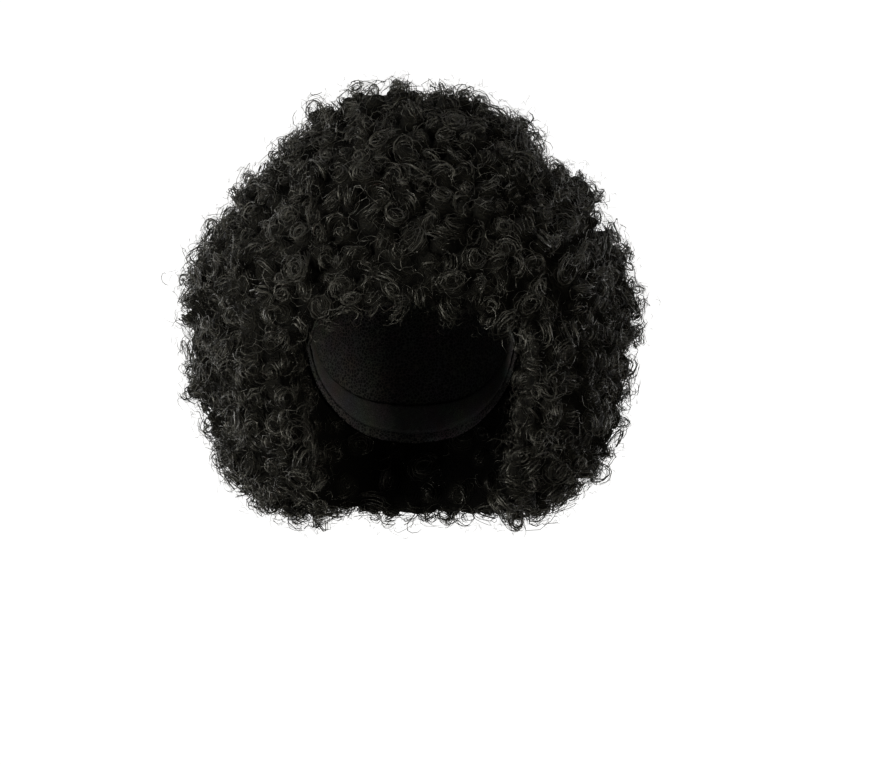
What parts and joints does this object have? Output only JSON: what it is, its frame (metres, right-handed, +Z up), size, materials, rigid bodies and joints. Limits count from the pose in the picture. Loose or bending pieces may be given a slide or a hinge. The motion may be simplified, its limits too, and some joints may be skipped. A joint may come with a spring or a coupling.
{
  "type": "afro wig",
  "caption": "Full, round afro wig of tight black curls on a thin stretch cap, with an arched face opening, a fringe over the forehead and hair down to the collar.",
  "frame": {"origin": "the inside of the cap at the top, where it sits on the crown of the head", "axes": "+Z up; the face opening looks along -Y; +X is the wearer's left"},
  "size_m": [0.3252, 0.3382, 0.3147],
  "materials": {
    "curled_hair": "black synthetic hair in tight, springy curls with a soft gloss",
    "cap_net": "matt black stretch net with sewn rows of hair",
    "edge_elastic": "black woven elastic, slightly ribbed"
  },
  "bodies": {
    "root": {"cap_net": "cap_net", "edge_elastic": "edge_elastic", "crown_curls": "curled_hair", "fringe_curls": "curled_hair", "left_side_curls": "curled_hair", "right_side_curls": "curled_hair", "back_curls": "curled_hair", "nape_curls": "curled_hair"}
  },
  "joints": []
}
